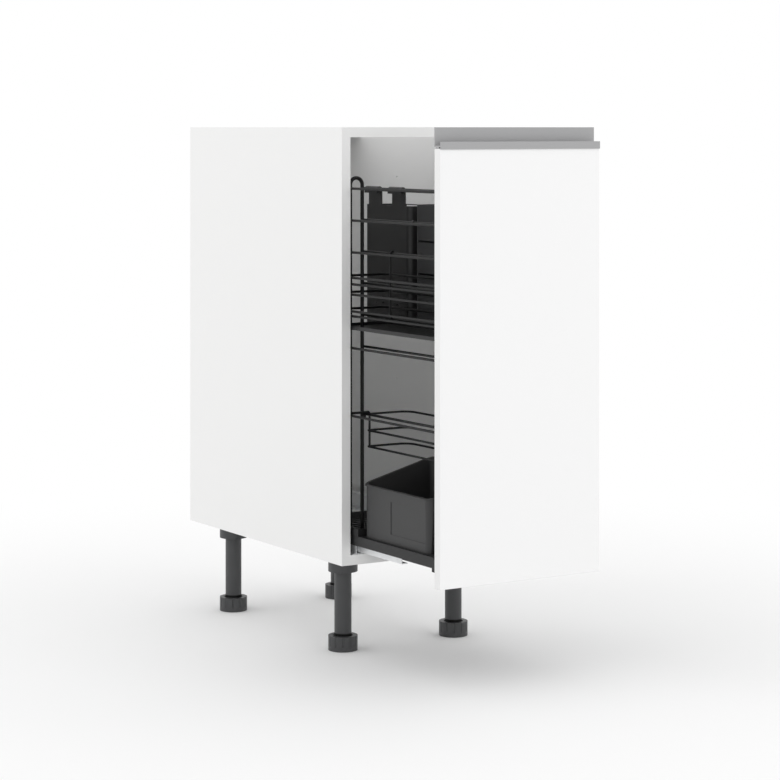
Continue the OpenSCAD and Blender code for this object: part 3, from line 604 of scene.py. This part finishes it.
class CABINET_OT_runners(bpy.types.Operator, CabinetStep):
    """Finish the runners and their roller cages."""

    bl_idname = "cabinet.runners"
    bl_label = "Runners"

    def execute(self, context):
        for side in ("left", "right"):
            paint(self.finishes["runner"], f"runner_fixed_{side}", f"runner_mid_{side}")
            paint(self.finishes["runner_dark"], f"runner_top_{side}")
            paint(self.finishes["nylon"], f"cage_outer_{side}", f"cage_inner_{side}")
        return {"FINISHED"}


class CABINET_OT_frame(bpy.types.Operator, CabinetStep):
    """Finish the base frame, trays, hoops, grids, rings and brackets."""

    bl_idname = "cabinet.frame"
    bl_label = "Pull-out frame"

    def execute(self, context):
        for name in ("base_frame", "basket_tray", "door_bracket_left", "door_bracket_right"):
            self.soften(name, SHEET_EDGE, self.finishes["sheet"], "graphite_sheet")
        paint(self.finishes["tray"], "base_tray", "wire_clip")
        paint(self.finishes["wire"], "hoop_rear_bar", "hoop_front_bar", "grid_outer", "grid_inner",
              "slot_wire", "board_stop", "basket_rings", "box_rail", "holder_rings")
        return {"FINISHED"}


class CABINET_OT_welds(bpy.types.Operator, CabinetStep):
    """Model one weld bead and set it at each crossing of a wire and a hoop."""

    bl_idname = "cabinet.welds"
    bl_label = "Welds"

    def crossings(self):
        """Places where the level wires of the grids lie against the uprights of the hoops."""
        places = []
        for hoop in ("hoop_rear_bar", "hoop_front_bar"):
            low, high = size_of(hoop)
            y = (low.y + high.y) / 2
            for z in wire_heights("grid_outer"):
                places.append((low.x, y, z))
                places.append((high.x, y, z))
        return places

    def execute(self, context):
        places = self.crossings()
        if len(places) < FEWEST_WELDS:
            raise RuntimeError("the grids have no wires to weld")
        tall = self.sizes.weld
        bead = start(bpy.ops.mesh.primitive_uv_sphere_add, "frame_welds", segments=20, ring_count=12,
                     radius=tall / 2, location=(0, 0, 0))
        bpy.ops.object.mode_set(mode="EDIT")
        bpy.ops.mesh.select_all(action="SELECT")
        bpy.ops.transform.resize(value=BEAD_STRETCH)
        bpy.ops.mesh.bisect(plane_co=(-tall * BEAD_CUT, 0, 0), plane_no=(1, 0, 0), use_fill=True,
                            clear_inner=True)
        bpy.ops.mesh.select_all(action="SELECT")
        bpy.ops.mesh.bisect(plane_co=(tall * BEAD_CUT, 0, 0), plane_no=(1, 0, 0), use_fill=True,
                            clear_outer=True)
        bpy.ops.mesh.select_all(action="SELECT")
        bpy.ops.transform.translate(value=places[0])
        bpy.ops.object.mode_set(mode="OBJECT")
        smooth(bead, ROUND_EDGE)
        more = [copy_to(bead, f"weld_{i}", Vector(p) - Vector(places[0])) for i, p in enumerate(places[1:])]
        pick(bead, *more)
        bpy.ops.object.join()
        give(bead, self.finishes["wire"], BODY_OF["hoop_rear_bar"])
        return {"FINISHED"}


class CABINET_OT_boxes(bpy.types.Operator, CabinetStep):
    """Round and finish the two utensil boxes and the bin."""

    bl_idname = "cabinet.boxes"
    bl_label = "Boxes and bin"

    def slide_hook(self, piece):
        """Slide the front box's hook along its rail, so that the door covers it as in the photograph."""
        points = [v.co for v in NODES["front_box"].data.vertices]
        near = 2 * BOX_EDGE
        top = max(point.z for point in points)
        hook = [point.y for point in points if point.z > top - HOOK_ROLL]
        fore, rear = min(hook) - near, max(hook) + near
        rim = max(point.z for point in points if point.y > rear)
        pick(piece)
        bpy.ops.object.mode_set(mode="EDIT")
        bpy.ops.mesh.select_mode(type="VERT")
        bpy.ops.mesh.select_all(action="DESELECT")
        bpy.ops.object.mode_set(mode="OBJECT")
        for vertex in piece.data.vertices:
            vertex.select = fore < vertex.co.y < rear and vertex.co.z > rim - near
        bpy.ops.object.mode_set(mode="EDIT")
        bpy.ops.transform.translate(value=(0, -self.sizes.hook_slide, 0))
        bpy.ops.object.mode_set(mode="OBJECT")

    def execute(self, context):
        self.soften("rear_box", BOX_EDGE, self.finishes["rear_box"], "box_black")
        front = self.soften("front_box", BOX_EDGE, self.finishes["front_box"], "box_grey")
        self.slide_hook(front)
        self.soften("bin", BOX_EDGE, self.finishes["bin"], "bin_grey")
        return {"FINISHED"}


class CABINET_OT_fasteners(bpy.types.Operator, CabinetStep):
    """Finish the screws, and cut a cross recess into the heads that can be seen."""

    bl_idname = "cabinet.fasteners"
    bl_label = "Fasteners"

    def heads(self, name, axis):
        """Middles of the screw heads of a node, on the face that looks along the axis."""
        mesh = NODES[name].data
        far = max(v.co[axis] for v in mesh.vertices)
        rim = [v.co.copy() for v in mesh.vertices if v.co[axis] > far - SAME_PLACE]
        found = []
        for point in rim:
            near = [group for group in found if (group[0] - point).length < HEAD_REACH]
            if near:
                near[0].append(point)
            else:
                found.append([point])
        return [sum(group, Vector()) / len(group) for group in found]

    def cut_crosses(self, name, axis, slot):
        """Put a copy of the screws with cross recesses in place of the node."""
        piece = self.soften(name, HEAD_EDGE, self.finishes["screw"], slot)
        wide, long = CROSS_ARM
        bars = []
        for place in self.heads(name, axis):
            for along in (a for a in (2, 1, 0) if a != axis):
                bar = start(bpy.ops.mesh.primitive_cube_add, "cross_arm", size=1, location=place)
                arm = [wide, wide, wide]
                arm[axis] = 2 * self.sizes.drive
                arm[along] = long
                bar.scale = arm
                bars.append(settle(bar))
        pick(bars[0], *bars[1:])
        bpy.ops.object.join()
        cutter = bars[0]
        finish_with(piece, "BOOLEAN", object=cutter, operation="DIFFERENCE", solver="EXACT",
                    use_self=True)
        bpy.data.objects.remove(cutter, do_unlink=True)
        smooth(piece)

    def execute(self, context):
        paint(self.finishes["screw"], "leg_screws", "runner_screws")
        self.cut_crosses("door_screws", axis=1, slot="zinc_steel")
        self.cut_crosses("handle_screws", axis=2, slot="zinc_steel")
        return {"FINISHED"}


class CABINET_OT_stage(bpy.types.Operator, CabinetStep):
    """Set up the pale floor, the even light, the lamps and the camera."""

    bl_idname = "cabinet.stage"
    bl_label = "Stage"

    def floor_material(self, studio):
        """A pale floor that keeps the shadows and fades to white further out."""
        material = bpy.data.materials.new("Studio floor")
        material.use_nodes = True
        nodes, links = material.node_tree.nodes, material.node_tree.links
        shader = nodes["Principled BSDF"]
        shader.inputs["Base Color"].default_value = (*studio.floor, 1)
        shader.inputs["Roughness"].default_value = 0.8
        shader.inputs["Specular IOR Level"].default_value = 0.1
        white = nodes.new("ShaderNodeEmission")
        coords = nodes.new("ShaderNodeTexCoord")
        reach = nodes.new("ShaderNodeVectorMath")
        reach.operation = "LENGTH"
        fade = nodes.new("ShaderNodeMapRange")
        fade.interpolation_type = "SMOOTHSTEP"
        fade.inputs["From Min"].default_value = studio.fade_start
        fade.inputs["From Max"].default_value = studio.fade_end
        seen = nodes.new("ShaderNodeLightPath")
        in_view = nodes.new("ShaderNodeMath")
        in_view.operation = "MAXIMUM"
        share = nodes.new("ShaderNodeMath")
        share.operation = "MULTIPLY"
        blend = nodes.new("ShaderNodeMixShader")
        links.new(coords.outputs["Object"], reach.inputs[0])
        links.new(reach.outputs["Value"], fade.inputs["Value"])
        links.new(seen.outputs["Is Camera Ray"], in_view.inputs[0])
        links.new(seen.outputs["Is Glossy Ray"], in_view.inputs[1])
        links.new(fade.outputs["Result"], share.inputs[0])
        links.new(in_view.outputs[0], share.inputs[1])
        links.new(share.outputs[0], blend.inputs["Fac"])
        links.new(shader.outputs["BSDF"], blend.inputs[1])
        links.new(white.outputs["Emission"], blend.inputs[2])
        links.new(blend.outputs["Shader"], nodes["Material Output"].inputs["Surface"])
        return material

    def light_world(self, studio):
        """An even sky that the camera sees as plain white."""
        world = bpy.context.scene.world or bpy.data.worlds.new("Studio")
        bpy.context.scene.world = world
        world.use_nodes = True
        nodes, links = world.node_tree.nodes, world.node_tree.links
        nodes.clear()
        lit = nodes.new("ShaderNodeBackground")
        lit.inputs["Color"].default_value = (1, 1, 1, 1)
        lit.inputs["Strength"].default_value = studio.sky
        seen = nodes.new("ShaderNodeBackground")
        seen.inputs["Color"].default_value = (1, 1, 1, 1)
        ray = nodes.new("ShaderNodeLightPath")
        either = nodes.new("ShaderNodeMath")
        either.operation = "MAXIMUM"
        blend = nodes.new("ShaderNodeMixShader")
        out = nodes.new("ShaderNodeOutputWorld")
        links.new(ray.outputs["Is Camera Ray"], either.inputs[0])
        links.new(ray.outputs["Is Transmission Ray"], either.inputs[1])
        links.new(either.outputs[0], blend.inputs["Fac"])
        links.new(lit.outputs["Background"], blend.inputs[1])
        links.new(seen.outputs["Background"], blend.inputs[2])
        links.new(blend.outputs["Shader"], out.inputs["Surface"])

    def lamp(self, name, place, aim, power):
        """One large soft lamp that looks at a point."""
        light = bpy.data.lights.new(name, "AREA")
        light.shape = "DISK"
        light.size = LAMP_SIZE
        light.energy = power
        holder = bpy.data.objects.new(name, light)
        holder.location = place
        holder.rotation_euler = (Vector(aim) - Vector(place)).to_track_quat("-Z", "Y").to_euler()
        bpy.context.scene.collection.objects.link(holder)

    def execute(self, context):
        studio = context.scene.cabinet_studio
        floor = start(bpy.ops.mesh.primitive_plane_add, "studio_floor", size=FLOOR_SIZE,
                      location=(0, 0, -FLOOR_DROP))
        settle(floor)
        floor.data.materials.append(self.floor_material(studio))
        self.light_world(studio)
        self.lamp("key_lamp", KEY_PLACE, KEY_AIM, studio.key)
        self.lamp("side_lamp", SIDE_PLACE, SIDE_AIM, studio.side)
        camera = bpy.data.cameras.new("photo_camera")
        camera.lens = studio.lens
        camera.sensor_width = 36
        camera.shift_y = VIEWER_SHIFT
        camera.clip_end = 100
        viewer = bpy.data.objects.new("photo_camera", camera)
        viewer.location = VIEWER_PLACE
        viewer.rotation_euler = VIEWER_TURN
        context.scene.collection.objects.link(viewer)
        context.scene.camera = viewer
        context.scene.view_settings.view_transform = "Standard"
        return {"FINISHED"}


class CABINET_PT_panel(bpy.types.Panel):
    """The cabinet's settings and steps in the sidebar."""

    bl_idname = "CABINET_PT_panel"
    bl_label = "Pull-out cabinet"
    bl_space_type = "VIEW_3D"
    bl_region_type = "UI"
    bl_category = "Cabinet"

    def draw(self, context):
        scene = context.scene
        for settings in (scene.cabinet_colours, scene.cabinet_sizes, scene.cabinet_studio):
            box = self.layout.box()
            for key in settings.__annotations__:
                box.prop(settings, key)
        for step in STEPS:
            self.layout.operator(step.bl_idname)


STEPS = (CABINET_OT_finishes, CABINET_OT_carcase, CABINET_OT_front, CABINET_OT_legs,
         CABINET_OT_shade_rings, CABINET_OT_runners, CABINET_OT_frame, CABINET_OT_welds,
         CABINET_OT_boxes, CABINET_OT_fasteners, CABINET_OT_stage)
SETTINGS = (("cabinet_colours", CabinetColours), ("cabinet_sizes", CabinetSizes),
            ("cabinet_studio", StudioSettings))


def register():
    """Register the settings, the steps and the panel."""
    for name, kind in SETTINGS:
        bpy.utils.register_class(kind)
        setattr(bpy.types.Scene, name, bpy.props.PointerProperty(type=kind))
    for step in STEPS:
        bpy.utils.register_class(step)
    bpy.utils.register_class(CABINET_PT_panel)


def unregister():
    """Take the panel, the steps and the settings out again."""
    bpy.utils.unregister_class(CABINET_PT_panel)
    for step in reversed(STEPS):
        bpy.utils.unregister_class(step)
    for name, kind in reversed(SETTINGS):
        delattr(bpy.types.Scene, name)
        bpy.utils.unregister_class(kind)


def main():
    """Dress the cabinet step by step."""
    register()
    bpy.ops.cabinet.finishes()
    bpy.ops.cabinet.carcase()
    bpy.ops.cabinet.front()
    bpy.ops.cabinet.legs()
    # rings of painted shade where each post meets its foot
    bpy.ops.cabinet.collars()
    bpy.ops.cabinet.runners()
    bpy.ops.cabinet.frame()
    bpy.ops.cabinet.welds()
    bpy.ops.cabinet.boxes()
    bpy.ops.cabinet.fasteners()
    bpy.ops.cabinet.stage()


if __name__ == "__main__":
    main()
